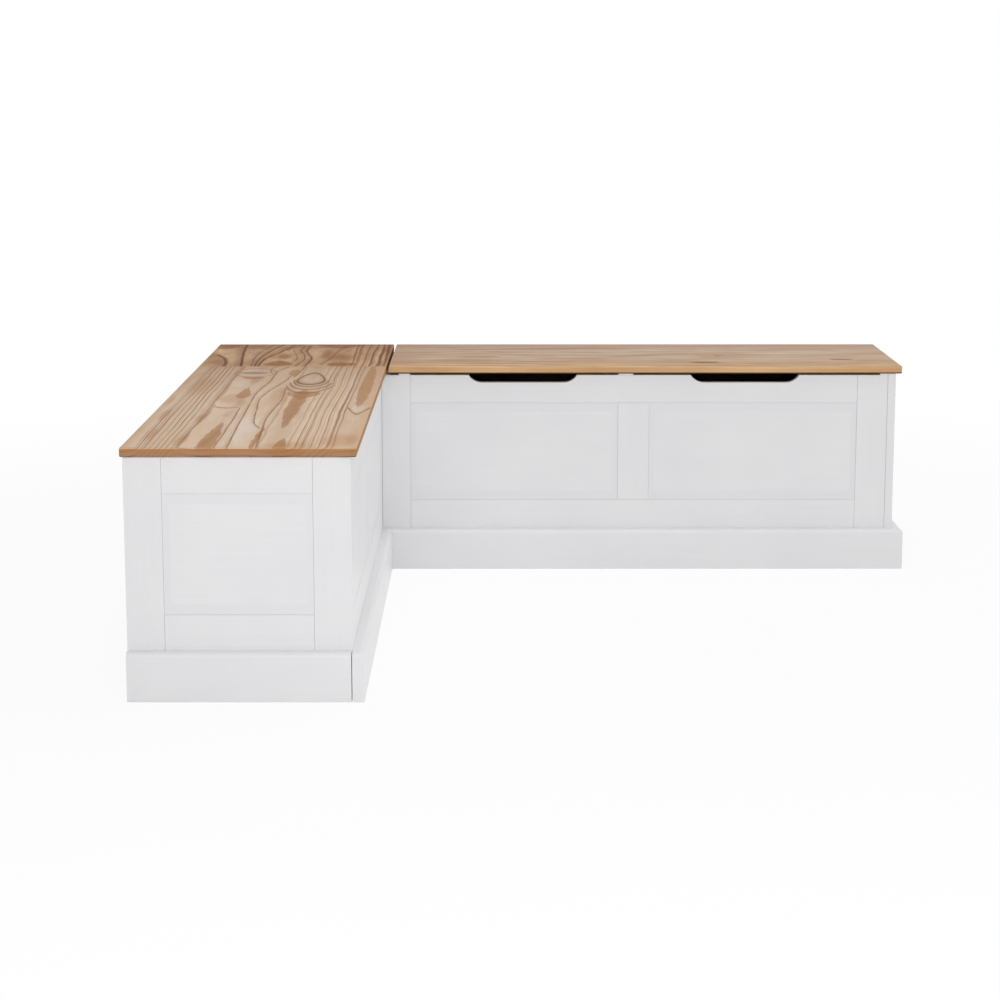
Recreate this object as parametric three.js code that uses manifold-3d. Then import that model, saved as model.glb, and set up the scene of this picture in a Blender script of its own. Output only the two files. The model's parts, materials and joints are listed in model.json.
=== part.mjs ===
// Corner storage bench: two lidded chests that meet in the corner of a room.
// Millimetres, +Z up. The origin is on the floor, under the middle of the bench's square plan.
//
// Each chest is drawn in its own bench frame: X runs along the wall from the room's corner,
// Y runs from the wall into the room, and Z is up. One chest is turned and the other mirrored
// into place at the end, so both are drawn once.

import * as THREE from 'three';
import { mergeVertices } from 'three/addons/utils/BufferGeometryUtils.js';
import Module from 'manifold-3d';

const wasm = await Module();
wasm.setup();

// Seat
const seatHeight = 470;
const seatDepth = 427;
const seatThickness = 18;
const seatEdgeRound = 3;
const seatOverhang = 11.5;
const rearOverhang = 3.5;
const lidLength = 1170;
const seamWidth = 6;

// Chest boards, frames and panels
const boardThickness = 18;
const stileWidth = 69;
const innerStileWidth = 65;
const mullionWidth = 71;
const topRailHeight = 68;
const bottomRailHeight = 98.5;
const bottomRailRise = 60;
const tongueThickness = 5;
const tongueLength = 8;
const panelSetback = 0.3;
const panelSideBevel = 13;
const panelEndBevel = 20;
const panelBevelFall = 0.5;

// Slit under the lid, with its rest, and the hand cut-outs in the front top rail
const lidSlit = 4;
const lidRestWidth = 34;
const innerStileRest = 26;
const outerStileRest = 18;
const handholdOffset = 254;
const handholdFlat = 187;
const handholdDepth = 17;
const handholdRadius = 36;

// Skirting, floor and the rail that carries the seam
const skirtingThickness = 22;
const skirtingHeight = 92;
const skirtingRound = 9;
const skirtingJoint = 1.6;
const floorThickness = 10;
const floorRise = 80;
const floorTongue = 6;
const crossRailWidth = 36;

// Butt hinges, with the knuckles under the lid's rear overhang
const hingeLength = 60;
const hingeInset = 180;
const knuckleRadius = 3;
const knuckleCount = 5;
const leafThickness = 1.5;
const leafReach = 12;
const leafGap = 0.3;
const hingePinRadius = 1.4;
const hingeHeadRadius = 2.4;
const hingeHeadHeight = 1.2;
const screwHoleRadius = 1.7;

// Lid stay: an arm hung from the lid, whose slot slides on a stud on the end frame
const openAngle = 95;
const stayRadius = 160;
const stayDrop = 12;
const stayRestAngle = 10;
const stayPlateThickness = 2;
const stayArmThickness = 2;
const stayArmWidth = 14;
const stayStudRadius = 3;
const stayHeadRadius = 5.5;
const stayHeadHeight = 1.5;
const stayPlateWidth = 20;
const stayPlateHeight = 34;
const stayFlangeWidth = 20;

// Clearances
const jointGap = 0.3;
const seatGap = 0.5;
const stayClearance = 0.5;
const cutOverrun = 1;

// Fineness of round shapes
const roundSteps = 3;
const skirtingSteps = 4;
const handholdSteps = 5;
const hingeSides = 16;
const holeSides = 12;
const stayEndSteps = 8;

// Worked-out places in the bench frame
const bodyRear = rearOverhang;
const bodyFront = seatDepth - seatOverhang;
const bodyDepth = bodyFront - bodyRear;
const lidStart = seatDepth + seamWidth;
const lidEnd = lidStart + lidLength;
const bodyEnd = lidEnd - seatOverhang;
const outerReach = bodyEnd + jointGap + skirtingThickness;
const seatUnderside = seatHeight - seatThickness;
const bodyTop = seatUnderside - seatGap;

const frontStart = bodyFront + jointGap;
const frontEnd = bodyEnd - boardThickness - jointGap;
const frontLength = frontEnd - frontStart;
const innerRear = bodyRear + boardThickness + jointGap;
const innerFront = bodyFront - boardThickness - jointGap;

const panelBottom = bottomRailRise + bottomRailHeight;
const panelTop = bodyTop - topRailHeight;
const frontRailTop = bodyTop - lidSlit;

const grooveDepth = tongueLength + jointGap;
const grooveBack = (boardThickness - tongueThickness) / 2 - jointGap;
const grooveFront = (boardThickness + tongueThickness) / 2 + jointGap;
const tongueBack = grooveBack + jointGap;
const tongueFront = grooveFront - jointGap;
const panelFace = boardThickness - panelSetback;

const mullionStart = (innerStileWidth + frontLength - stileWidth - mullionWidth) / 2;
const mullionMiddle = mullionStart + mullionWidth / 2;

const hingeAxisDepth = bodyRear - seatGap;
const hingePlaces = [lidStart + hingeInset, lidEnd - hingeInset];
const knucklePitch = hingeLength / knuckleCount;
const hingePinReach = hingeLength / 2 + jointGap;
const hingeReliefRadius = knuckleRadius + jointGap;
const hingeReliefLength = 2 * (hingePinReach + hingeHeadHeight + jointGap);
const leafPocketDepth = leafGap / 2 + leafThickness + jointGap;

const pivotDip = Math.asin(stayDrop / stayRadius);
const studDip = pivotDip + THREE.MathUtils.degToRad(stayRestAngle);
const stayPivot = [hingeAxisDepth + stayRadius * Math.cos(pivotDip), seatUnderside - stayDrop];
const stayStud = [
  hingeAxisDepth + stayRadius * Math.cos(studDip),
  seatUnderside - stayRadius * Math.sin(studDip),
];
const slotStart = stayReach(0);
const slotEnd = stayReach(openAngle);
const stayHoleRadius = stayStudRadius + jointGap;
const endFrameInside = bodyEnd - boardThickness;
const stayPlateFace = endFrameInside - jointGap - stayPlateThickness;
const stayArmFace = stayPlateFace - stayClearance;
const stayFlangeFace = stayArmFace - stayArmThickness - stayClearance;

const white = new THREE.MeshStandardMaterial({ color: 0xe4e4e1, roughness: 0.45, metalness: 0 });
const pine = new THREE.MeshStandardMaterial({ color: 0xc9ab87, roughness: 0.5, metalness: 0 });
const board = new THREE.MeshStandardMaterial({ color: 0xdcdad5, roughness: 0.7, metalness: 0 });
const zinc = new THREE.MeshStandardMaterial({ color: 0xb4b6b8, roughness: 0.35, metalness: 1 });

// How far the stud lies from the lid's pivot when the lid stands at an angle in degrees.
// Both lie at one distance from the hinge axis, so the arm turns by half the lid's angle.
function stayReach(lidAngle) {
  return 2 * stayRadius * Math.sin(THREE.MathUtils.degToRad(stayRestAngle + lidAngle) / 2);
}

// Shape helpers

function toSolid(geometry) {
  const bare = new THREE.BufferGeometry();
  bare.setAttribute('position', geometry.getAttribute('position'));
  bare.setIndex(geometry.getIndex());
  const merged = mergeVertices(bare);
  return new wasm.Manifold(new wasm.Mesh({
    numProp: 3,
    vertProperties: Float32Array.from(merged.getAttribute('position').array),
    triVerts: Uint32Array.from(merged.getIndex().array),
  }));
}

function toGeometry(solid) {
  const { vertProperties, triVerts } = solid.getMesh();
  const geometry = new THREE.BufferGeometry();
  geometry.setAttribute('position', new THREE.BufferAttribute(vertProperties, 3));
  geometry.setIndex(new THREE.BufferAttribute(triVerts, 1));
  geometry.computeVertexNormals();
  return geometry;
}

function join(...geometries) {
  return toGeometry(geometries.map(toSolid).reduce((whole, next) => whole.add(next)));
}

function cut(geometry, ...tools) {
  return toGeometry(tools.map(toSolid).reduce((rest, tool) => rest.subtract(tool), toSolid(geometry)));
}

function box(from, to) {
  const size = to.map((value, axis) => value - from[axis]);
  const middle = to.map((value, axis) => (value + from[axis]) / 2);
  return new THREE.BoxGeometry(...size).translate(...middle);
}

function cylinderAlongX(radius, length, sides) {
  return new THREE.CylinderGeometry(radius, radius, length, sides).rotateZ(Math.PI / 2);
}

function cylinderUpright(radius, length, sides) {
  return new THREE.CylinderGeometry(radius, radius, length, sides).rotateX(Math.PI / 2);
}

// A section drawn in Y and Z, run out along X.
function runAlongX(shape, length, curveSegments) {
  const geometry = new THREE.ExtrudeGeometry(shape, { depth: length, bevelEnabled: false, curveSegments });
  const turn = new THREE.Matrix4().makeBasis(
    new THREE.Vector3(0, 1, 0), new THREE.Vector3(0, 0, 1), new THREE.Vector3(1, 0, 0));
  return geometry.applyMatrix4(turn);
}

// A face drawn in X and Z, given its thickness along Y.
function thickenAlongY(shape, thickness, curveSegments) {
  const options = { depth: thickness, bevelEnabled: false, curveSegments };
  return new THREE.ExtrudeGeometry(shape, options).rotateX(Math.PI / 2).translate(0, thickness, 0);
}

// A closed skin over four-cornered rings that follow each other along +Y.
function loft(rings) {
  const corners = rings[0].length;
  const index = [];
  for (let corner = 1; corner < corners - 1; corner += 1) {
    index.push(0, corner, corner + 1);
    const last = (rings.length - 1) * corners;
    index.push(last, last + corner + 1, last + corner);
  }
  for (let ring = 0; ring < rings.length - 1; ring += 1) {
    for (let corner = 0; corner < corners; corner += 1) {
      const a = ring * corners + corner;
      const b = ring * corners + ((corner + 1) % corners);
      index.push(a, a + corners, b + corners, a, b + corners, b);
    }
  }
  const geometry = new THREE.BufferGeometry();
  geometry.setAttribute('position', new THREE.Float32BufferAttribute(rings.flat(2), 3));
  geometry.setIndex(index);
  geometry.computeVertexNormals();
  return geometry;
}

function piece(name, geometry, material, place = [0, 0, 0]) {
  const mesh = new THREE.Mesh(geometry, material.clone());
  mesh.material.flatShading = true;
  mesh.name = name;
  mesh.position.set(...place);
  return mesh;
}

// Seat boards

// A board with rounded edges, from its lower rear corner.
function seatBoard(length, depth) {
  const outline = new THREE.Shape([
    new THREE.Vector2(seatEdgeRound, seatEdgeRound),
    new THREE.Vector2(length - seatEdgeRound, seatEdgeRound),
    new THREE.Vector2(length - seatEdgeRound, depth - seatEdgeRound),
    new THREE.Vector2(seatEdgeRound, depth - seatEdgeRound),
  ]);
  const geometry = new THREE.ExtrudeGeometry(outline, {
    depth: seatThickness - 2 * seatEdgeRound,
    bevelThickness: seatEdgeRound,
    bevelSize: seatEdgeRound,
    bevelSegments: roundSteps,
  });
  return geometry.translate(0, 0, seatEdgeRound);
}

// The hollows that one hinge needs around its axis: a leaf pocket on one side (+1 up, -1 down)
// and a round relief for the knuckles.
function hingeHollows(side) {
  const reach = hingeLength / 2 + jointGap;
  const low = side > 0 ? -cutOverrun : -leafPocketDepth;
  const high = side > 0 ? leafPocketDepth : cutOverrun;
  return [
    box([-reach, -cutOverrun - hingeAxisDepth, low], [reach, leafReach + jointGap, high]),
    cylinderAlongX(hingeReliefRadius, hingeReliefLength, hingeSides),
  ];
}

function lidGeometry() {
  const hollows = hingePlaces.flatMap((along) => (
    hingeHollows(1).map((hollow) => hollow.translate(along - lidStart, hingeAxisDepth, 0))
  ));
  return cut(seatBoard(lidLength, seatDepth), ...hollows);
}

// Frames with raised panels. X runs along the frame, Y from its inner to its outer face.

function stileGeometry(width, grooveOnLeft) {
  const grooveFrom = grooveOnLeft ? -cutOverrun : width - grooveDepth;
  const grooveTo = grooveOnLeft ? grooveDepth : width + cutOverrun;
  return cut(
    box([0, 0, 0], [width, boardThickness, bodyTop]),
    box([grooveFrom, grooveBack, -cutOverrun], [grooveTo, grooveFront, bodyTop + cutOverrun]),
  );
}

// A front stile stops at the slit, but for a rest that meets the lid at its end away from the corner.
function frontStile(width, grooveOnLeft, restWidth) {
  return cut(
    stileGeometry(width, grooveOnLeft),
    box(
      [-cutOverrun, -cutOverrun, frontRailTop],
      [width - restWidth, boardThickness + cutOverrun, bodyTop + cutOverrun],
    ),
  );
}

// Cuts the panel groove into one edge of a rail blank and adds its end tongues.
function railGeometry(blank, length, height, grooveOnTop) {
  const grooveLow = grooveOnTop ? height - grooveDepth : -cutOverrun;
  const grooveHigh = grooveOnTop ? height + cutOverrun : grooveDepth;
  const tongueLow = grooveOnTop ? 0 : grooveDepth;
  const tongueHigh = grooveOnTop ? height - grooveDepth : height;
  const grooved = cut(
    blank,
    box([-cutOverrun, grooveBack, grooveLow], [length + cutOverrun, grooveFront, grooveHigh]),
  );
  const tongues = [[-tongueLength, cutOverrun], [length - cutOverrun, length + tongueLength]];
  return join(grooved, ...tongues.map(([from, to]) => (
    box([from, tongueBack, tongueLow], [to, tongueFront, tongueHigh])
  )));
}

function plainRail(length, height, grooveOnTop) {
  return railGeometry(box([0, 0, 0], [length, boardThickness, height]), length, height, grooveOnTop);
}

// The front top rail's blank: two shallow cut-outs let a hand lift the lid.
function handholdBlank(length, height, middle) {
  const arcRise = handholdRadius - handholdDepth;
  const arcAngle = Math.asin(arcRise / handholdRadius);
  const arcHeight = height - handholdDepth + handholdRadius;
  const outline = new THREE.Shape();
  outline.moveTo(0, 0);
  outline.lineTo(length, 0);
  outline.lineTo(length, height);
  for (const side of [1, -1]) {
    const right = middle + side * handholdOffset + handholdFlat / 2;
    const left = right - handholdFlat;
    outline.absarc(right, arcHeight, handholdRadius, -arcAngle, -Math.PI / 2, true);
    outline.absarc(left, arcHeight, handholdRadius, -Math.PI / 2, arcAngle - Math.PI, true);
  }
  outline.lineTo(0, height);
  return thickenAlongY(outline, boardThickness, handholdSteps);
}

// The bottom rails of the fronts also hold the floor in a groove on their inner face.
function frontBottomRail(length) {
  return cut(
    plainRail(length, bottomRailHeight, true),
    box(
      [-cutOverrun, -cutOverrun, floorRise - bottomRailRise - jointGap],
      [length + cutOverrun, floorTongue, floorRise - bottomRailRise + floorThickness + jointGap],
    ),
  );
}

function mullionGeometry() {
  const height = panelTop - panelBottom - 2 * jointGap;
  const edges = [[-cutOverrun, grooveDepth], [mullionWidth - grooveDepth, mullionWidth + cutOverrun]];
  const grooved = cut(
    box([0, 0, 0], [mullionWidth, boardThickness, height]),
    ...edges.map(([from, to]) => (
      box([from, grooveBack, -cutOverrun], [to, grooveFront, height + cutOverrun])
    )),
  );
  const ends = [[-tongueLength, cutOverrun], [height - cutOverrun, height + tongueLength]];
  return join(grooved, ...ends.map(([low, high]) => (
    box([grooveDepth, tongueBack, low], [mullionWidth - grooveDepth, tongueFront, high])
  )));
}

// A raised panel for an opening of the given size. Its tongues sit in the frame's grooves, a
// shoulder rises beside the frame's edge, and a bevel leads on up to the flat field.
function panelGeometry(width, height) {
  const ring = (depth, sideInset, endInset) => [
    [sideInset, depth, endInset],
    [width - sideInset, depth, endInset],
    [width - sideInset, depth, height - endInset],
    [sideInset, depth, height - endInset],
  ];
  return loft([
    ring(tongueBack, -tongueLength, -tongueLength),
    ring(tongueFront, -tongueLength, -tongueLength),
    ring(tongueFront, jointGap, jointGap),
    ring(panelFace - panelBevelFall, jointGap, jointGap),
    ring(panelFace, panelSideBevel, panelEndBevel),
  ]);
}

function frontFrame(side) {
  const frame = new THREE.Group();
  const railStart = innerStileWidth + jointGap;
  const outerStileStart = frontLength - stileWidth;
  const railLength = outerStileStart - jointGap - railStart;
  const topHeight = frontRailTop - panelTop;
  const topBlank = handholdBlank(railLength, topHeight, mullionMiddle - railStart);
  const openings = [
    ['inner_panel', innerStileWidth, mullionStart],
    ['outer_panel', mullionStart + mullionWidth, outerStileStart],
  ];
  frame.add(
    piece(
      `${side}_front_inner_stile`, frontStile(innerStileWidth, false, innerStileRest), white,
    ),
    piece(
      `${side}_front_outer_stile`, frontStile(stileWidth, true, outerStileRest), white,
      [outerStileStart, 0, 0],
    ),
    piece(`${side}_front_mullion`, mullionGeometry(), white, [mullionStart, 0, panelBottom + jointGap]),
    piece(
      `${side}_front_top_rail`, railGeometry(topBlank, railLength, topHeight, false), white,
      [railStart, 0, panelTop],
    ),
    piece(
      `${side}_front_bottom_rail`, frontBottomRail(railLength), white, [railStart, 0, bottomRailRise],
    ),
    ...openings.map(([name, from, to]) => (
      piece(
        `${side}_front_${name}`, panelGeometry(to - from, panelTop - panelBottom), white,
        [from, 0, panelBottom],
      )
    )),
    piece(
      `${side}_lid_rest`, box([0, 0, jointGap], [lidRestWidth, boardThickness, lidSlit]), white,
      [mullionStart, 0, frontRailTop],
    ),
  );
  frame.position.set(frontStart, bodyFront - boardThickness, 0);
  return frame;
}

// The end frame and its skirting are drawn from the chest's front edge back to the wall. A
// skirting without a mitre stops short of the long skirting by the width of their joint.
function endFrame(side, mitredSkirting) {
  const frame = new THREE.Group();
  const rearStileStart = bodyDepth - stileWidth;
  const railStart = stileWidth + jointGap;
  const railLength = rearStileStart - jointGap - railStart;
  const skirtingStart = mitredSkirting ? 0 : skirtingJoint - jointGap;
  frame.add(
    piece(`${side}_end_front_stile`, stileGeometry(stileWidth, false), white),
    piece(`${side}_end_rear_stile`, stileGeometry(stileWidth, true), white, [rearStileStart, 0, 0]),
    piece(
      `${side}_end_top_rail`, plainRail(railLength, topRailHeight, false), white, [railStart, 0, panelTop],
    ),
    piece(
      `${side}_end_bottom_rail`, plainRail(railLength, bottomRailHeight, true), white,
      [railStart, 0, bottomRailRise],
    ),
    piece(
      `${side}_end_panel`, panelGeometry(rearStileStart - stileWidth, panelTop - panelBottom), white,
      [stileWidth, 0, panelBottom],
    ),
    piece(
      `${side}_end_skirting`,
      skirtingGeometry(bodyDepth - skirtingStart, mitredSkirting, false), white,
      [skirtingStart, boardThickness + jointGap, 0],
    ),
  );
  frame.rotation.z = -Math.PI / 2;
  frame.position.set(endFrameInside, bodyFront, 0);
  return frame;
}

// Skirting with a rounded upper edge. A mitred end is drawn out with the distance from the chest.
function skirtingGeometry(length, mitredStart, mitredEnd) {
  const section = new THREE.Shape();
  const roundHeight = skirtingHeight - skirtingRound;
  section.moveTo(0, 0);
  section.lineTo(skirtingThickness, 0);
  section.absarc(skirtingThickness - skirtingRound, roundHeight, skirtingRound, 0, Math.PI / 2, false);
  section.lineTo(0, skirtingHeight);
  const geometry = runAlongX(section, length, skirtingSteps);
  const corners = geometry.getAttribute('position');
  for (let corner = 0; corner < corners.count; corner += 1) {
    const along = corners.getX(corner);
    const out = corners.getY(corner);
    const atEnd = along > length / 2;
    if (atEnd && mitredEnd) corners.setX(corner, along + out);
    if (!atEnd && mitredStart) corners.setX(corner, along - out);
  }
  return geometry;
}

// Plain boards inside a chest

function backBoard(start) {
  const floorGroove = box(
    [-cutOverrun, boardThickness - floorTongue, floorRise - jointGap],
    [frontEnd - start + cutOverrun, boardThickness + cutOverrun, floorRise + floorThickness + jointGap],
  );
  const hollows = hingePlaces.flatMap((along) => (
    hingeHollows(-1).map((hollow) => (
      hollow.translate(along - start, hingeAxisDepth - bodyRear, seatUnderside)
    ))
  ));
  return cut(box([0, 0, 0], [frontEnd - start, boardThickness, bodyTop]), floorGroove, ...hollows);
}

// The floor lies in grooves along the back board and the front's bottom rail.
function floorGeometry(start) {
  const railStart = frontStart + innerStileWidth + jointGap;
  const railEnd = frontEnd - stileWidth - jointGap;
  return join(
    box([start, innerRear, 0], [frontEnd, innerFront, floorThickness]),
    box([start, innerRear - floorTongue, 0], [frontEnd, innerRear + cutOverrun, floorThickness]),
    box([railStart, innerFront - cutOverrun, 0], [railEnd, innerFront + floorTongue, floorThickness]),
  );
}

// Butt hinge, drawn around its axis

function leafGeometry(side, knuckles) {
  const near = side * leafGap / 2;
  const far = side * (leafGap / 2 + leafThickness);
  const low = Math.min(near, far);
  const high = Math.max(near, far);
  const plateStart = knuckleRadius + jointGap;
  const parts = [box([-hingeLength / 2, plateStart, low], [hingeLength / 2, leafReach, high])];
  for (const knuckle of knuckles) {
    const from = knuckle * knucklePitch - hingeLength / 2 + jointGap / 2;
    const to = from + knucklePitch - jointGap;
    parts.push(
      cylinderAlongX(knuckleRadius, to - from, hingeSides).translate((from + to) / 2, 0, 0),
      box([from, 0, low], [to, plateStart + cutOverrun, high]),
    );
  }
  const screwDepth = (plateStart + leafReach) / 2;
  const screws = [-1, 0, 1].map((place) => (
    cylinderUpright(screwHoleRadius, hingeLength, holeSides)
      .translate(place * hingeLength / 3, screwDepth, 0)
  ));
  const bore = cylinderAlongX(hingePinRadius + jointGap, hingeLength + cutOverrun, hingeSides);
  return cut(join(...parts), bore, ...screws);
}

function hingePinGeometry() {
  const half = hingePinReach;
  const end = half + hingeHeadHeight;
  const profile = [
    [0, -end], [hingeHeadRadius, -end], [hingeHeadRadius, -half], [hingePinRadius, -half],
    [hingePinRadius, half], [hingeHeadRadius, half], [hingeHeadRadius, end], [0, end],
  ].map(([radius, along]) => new THREE.Vector2(radius, along));
  return new THREE.LatheGeometry(profile, hingeSides).rotateZ(Math.PI / 2);
}

function hinge(name, along) {
  const group = new THREE.Group();
  const all = Array.from({ length: knuckleCount }, (_, knuckle) => knuckle);
  group.add(
    piece(`${name}_fixed_leaf`, leafGeometry(-1, all.filter((knuckle) => knuckle % 2 === 0)), zinc),
    piece(`${name}_moving_leaf`, leafGeometry(1, all.filter((knuckle) => knuckle % 2 === 1)), zinc),
    piece(`${name}_pin`, hingePinGeometry(), zinc),
  );
  group.position.set(along, hingeAxisDepth, seatUnderside);
  return group;
}

// Lid stay

// The arm hangs down from its pivot: a flat bar with a long slot.
function stayArmGeometry() {
  const half = stayArmWidth / 2;
  const outline = new THREE.Shape();
  outline.absarc(0, 0, half, 0, Math.PI, false);
  outline.absarc(0, -slotEnd, half, Math.PI, 2 * Math.PI, false);
  const slot = new THREE.Path();
  slot.absarc(0, -slotStart, stayHoleRadius, 0, Math.PI, false);
  slot.absarc(0, -slotEnd, stayHoleRadius, Math.PI, 2 * Math.PI, false);
  const eye = new THREE.Path();
  eye.absarc(0, 0, stayHoleRadius, 0, 2 * Math.PI, false);
  outline.holes.push(slot, eye);
  return runAlongX(outline, stayArmThickness, stayEndSteps);
}

// A rivet through the arm: a stud from the carrying face, and a head behind the arm.
// It is drawn from the carrying face outwards, along +X.
function rivetParts() {
  const studLength = stayClearance + stayArmThickness + jointGap + cutOverrun;
  const headStart = stayClearance + stayArmThickness + jointGap;
  return [
    cylinderAlongX(stayStudRadius, studLength + cutOverrun, hingeSides)
      .translate((studLength - cutOverrun) / 2, 0, 0),
    cylinderAlongX(stayHeadRadius, stayHeadHeight, hingeSides)
      .translate(headStart + stayHeadHeight / 2, 0, 0),
  ];
}

function screwHole(alongX, place) {
  const hole = alongX
    ? cylinderAlongX(screwHoleRadius, stayPlateHeight, holeSides)
    : cylinderUpright(screwHoleRadius, stayPlateHeight, holeSides);
  return hole.translate(...place);
}

// The plate on the end frame's top rail, with the stud on its inner side.
function stayRailPlateGeometry() {
  const holeRise = (stayPlateHeight + 2 * stayHeadRadius) / 4;
  const rivet = rivetParts().map((part) => part.rotateZ(Math.PI));
  const plate = box(
    [0, -stayPlateWidth / 2, -stayPlateHeight / 2],
    [stayPlateThickness, stayPlateWidth / 2, stayPlateHeight / 2],
  );
  return cut(
    join(plate, ...rivet),
    screwHole(true, [0, 0, holeRise]),
    screwHole(true, [0, 0, -holeRise]),
  );
}

// The angle under the lid: a flange that is screwed up into the lid, and an ear with the pivot.
function stayLidBracketGeometry() {
  const half = stayPlateHeight / 2;
  const top = stayDrop - jointGap;
  const flange = box([-stayFlangeWidth, -half, top - stayPlateThickness], [0, half, top]);
  const earHalf = stayPlateWidth / 2;
  const ear = box([-stayPlateThickness, -earHalf, -earHalf], [0, earHalf, top]);
  const holeInset = -(stayFlangeWidth + stayPlateThickness) / 2;
  return cut(
    join(flange, ear, ...rivetParts()),
    screwHole(false, [holeInset, -half / 2, top]),
    screwHole(false, [holeInset, half / 2, top]),
  );
}

function lidStay(side) {
  const group = new THREE.Group();
  const [pivotDepth, pivotHeight] = stayPivot;
  const [studDepth, studHeight] = stayStud;
  const arm = piece(`${side}_stay_arm`, stayArmGeometry(), zinc);
  arm.position.set(stayArmFace - stayArmThickness, pivotDepth, pivotHeight);
  arm.rotation.x = -(pivotDip + studDip) / 2;
  group.add(
    arm,
    piece(
      `${side}_stay_lid_bracket`, stayLidBracketGeometry(), zinc,
      [stayFlangeFace, pivotDepth, pivotHeight],
    ),
    piece(
      `${side}_stay_rail_plate`, stayRailPlateGeometry(), zinc,
      [stayPlateFace, studDepth, studHeight],
    ),
  );
  return group;
}

// What both chests have alike
function chest(side, mitredSkirting) {
  const group = new THREE.Group();
  group.add(
    frontFrame(side),
    endFrame(side, mitredSkirting),
    piece(`${side}_lid`, lidGeometry(), pine, [lidStart, 0, seatUnderside]),
    lidStay(side),
    ...hingePlaces.map((along, place) => hinge(`${side}_hinge_${'ab'[place]}`, along)),
  );
  return group;
}

// The chest that faces its end to the room's entrance reaches into the corner, and carries the
// fixed corner top. Its long skirting runs past the end skirting.
function leftChest() {
  const group = chest('left', false);
  const skirtingStart = frontStart + skirtingThickness + jointGap;
  group.add(
    piece('left_back_board', backBoard(bodyRear), white, [bodyRear, bodyRear, 0]),
    piece('left_floor', floorGeometry(innerRear), board, [0, 0, floorRise]),
    piece(
      'left_front_skirting', skirtingGeometry(outerReach - skirtingStart, false, false), white,
      [skirtingStart, frontStart, 0],
    ),
    piece('corner_top', seatBoard(seatDepth, seatDepth), pine, [0, 0, seatUnderside]),
    piece(
      'corner_wall_board',
      box([0, innerRear, 0], [boardThickness, bodyFront, bodyTop]), white, [bodyRear, 0, 0],
    ),
    piece(
      'corner_side_board',
      box([innerRear, 0, 0], [bodyFront, boardThickness, bodyTop]), white,
      [0, bodyFront - boardThickness, 0],
    ),
    piece(
      'corner_cross_rail',
      box([0, innerRear, panelTop], [crossRailWidth, innerFront, bodyTop]), white,
      [(seatDepth + lidStart - crossRailWidth) / 2, 0, 0],
    ),
  );
  return group;
}

// The chest that faces its front to the room's entrance stands against the other one's side.
function rightChest() {
  const group = chest('right', true);
  const rightFloorStart = frontStart + boardThickness + jointGap;
  group.add(
    piece('right_back_board', backBoard(frontStart), white, [frontStart, bodyRear, 0]),
    piece('right_floor', floorGeometry(rightFloorStart), board, [0, 0, floorRise]),
    piece(
      'right_inner_end_board',
      box([0, innerRear, 0], [boardThickness, innerFront, bodyTop]), white, [frontStart, 0, 0],
    ),
    piece(
      'right_front_skirting', skirtingGeometry(bodyEnd - frontStart, false, true), white,
      [frontStart, frontStart, 0],
    ),
  );
  return group;
}

const left = leftChest();
left.rotation.z = -Math.PI / 2;

const right = rightChest();
right.scale.y = -1;

const bench = new THREE.Group();
bench.add(left, right);
bench.position.set(-outerReach / 2, outerReach / 2, 0);

export default bench;
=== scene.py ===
import json
import math

import bmesh
import bpy
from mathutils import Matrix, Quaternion, Vector

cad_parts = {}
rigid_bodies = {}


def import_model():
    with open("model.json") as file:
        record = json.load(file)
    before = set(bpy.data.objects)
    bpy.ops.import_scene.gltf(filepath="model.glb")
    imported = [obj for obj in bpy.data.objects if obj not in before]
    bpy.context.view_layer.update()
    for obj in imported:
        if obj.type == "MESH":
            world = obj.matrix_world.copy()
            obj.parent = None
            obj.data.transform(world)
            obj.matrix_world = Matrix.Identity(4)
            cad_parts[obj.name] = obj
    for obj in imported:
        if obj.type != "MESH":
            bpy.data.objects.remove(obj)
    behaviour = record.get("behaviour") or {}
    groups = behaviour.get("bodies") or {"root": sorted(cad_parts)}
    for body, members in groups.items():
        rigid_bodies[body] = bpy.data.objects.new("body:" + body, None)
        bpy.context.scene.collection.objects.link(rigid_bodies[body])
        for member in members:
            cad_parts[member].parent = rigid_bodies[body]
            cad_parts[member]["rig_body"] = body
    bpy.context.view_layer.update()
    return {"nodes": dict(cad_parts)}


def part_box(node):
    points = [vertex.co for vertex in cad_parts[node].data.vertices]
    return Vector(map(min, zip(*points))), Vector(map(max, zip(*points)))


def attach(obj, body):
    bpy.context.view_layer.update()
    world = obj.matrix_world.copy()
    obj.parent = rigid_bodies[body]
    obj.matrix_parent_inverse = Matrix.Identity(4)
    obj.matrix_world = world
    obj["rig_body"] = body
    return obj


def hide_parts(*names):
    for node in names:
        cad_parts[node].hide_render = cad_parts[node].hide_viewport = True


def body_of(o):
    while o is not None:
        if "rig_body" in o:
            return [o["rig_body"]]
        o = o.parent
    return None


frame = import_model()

# Corner storage bench: white painted chests with pine seats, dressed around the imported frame.
# Metres. The origin is on the floor under the middle of the bench, +Z up.

print("frame loaded with", len(frame["nodes"]), "nodes")


# Shader helpers

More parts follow.
